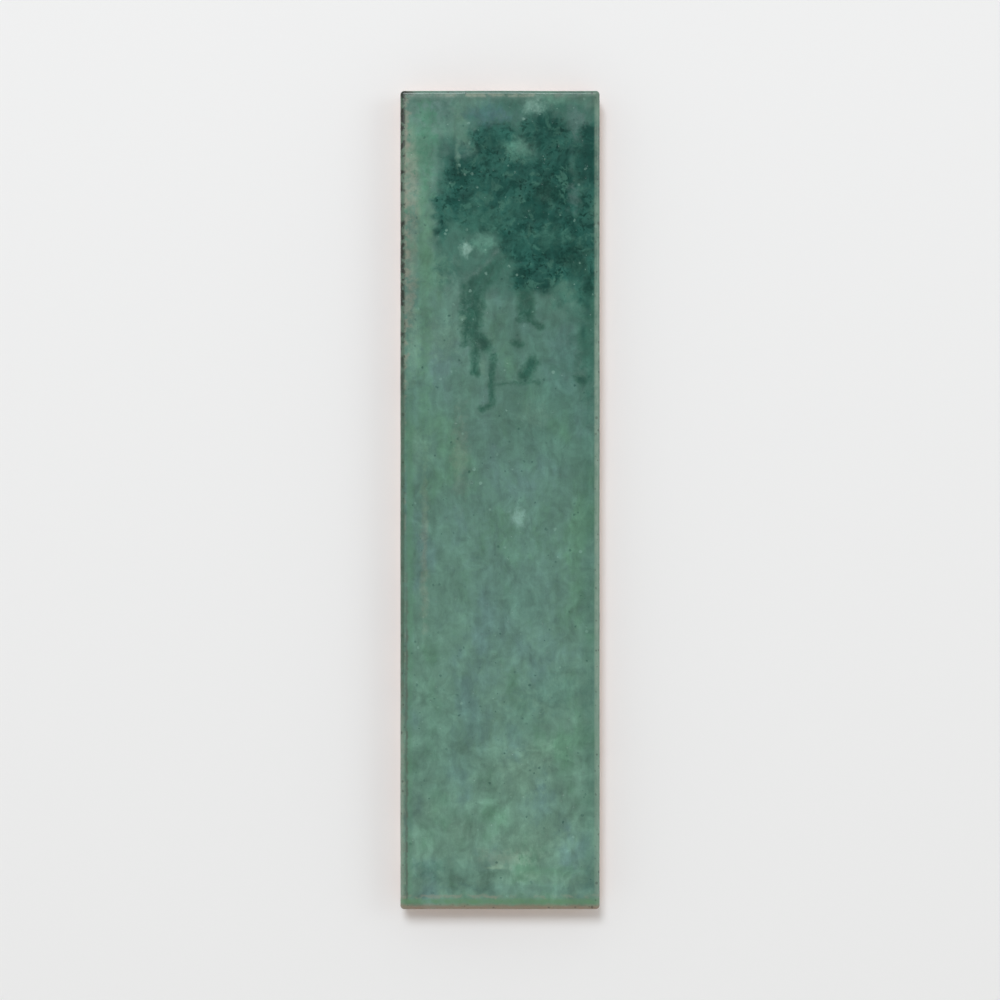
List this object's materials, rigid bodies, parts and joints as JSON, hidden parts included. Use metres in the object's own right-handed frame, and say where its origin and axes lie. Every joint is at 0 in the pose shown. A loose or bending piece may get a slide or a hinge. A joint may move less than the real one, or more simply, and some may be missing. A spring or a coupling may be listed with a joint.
{
  "type": "ceramic wall tile",
  "caption": "Oblong glazed ceramic wall tile with a soft face rim, straight pressed edges that draw in below a collar, and a shallow waffle back for the adhesive.",
  "frame": {"origin": "centre of the back, on the plane of its ribs", "axes": "+X across the width, +Y along the length, +Z out of the glazed face"},
  "size_m": [0.06, 0.246, 0.009],
  "materials": {
    "glazed_ceramic": "gloss reactive glaze in sage and teal on a pinkish-tan fired body"
  },
  "bodies": {
    "root": {"wall_tile": "glazed_ceramic"}
  },
  "joints": []
}
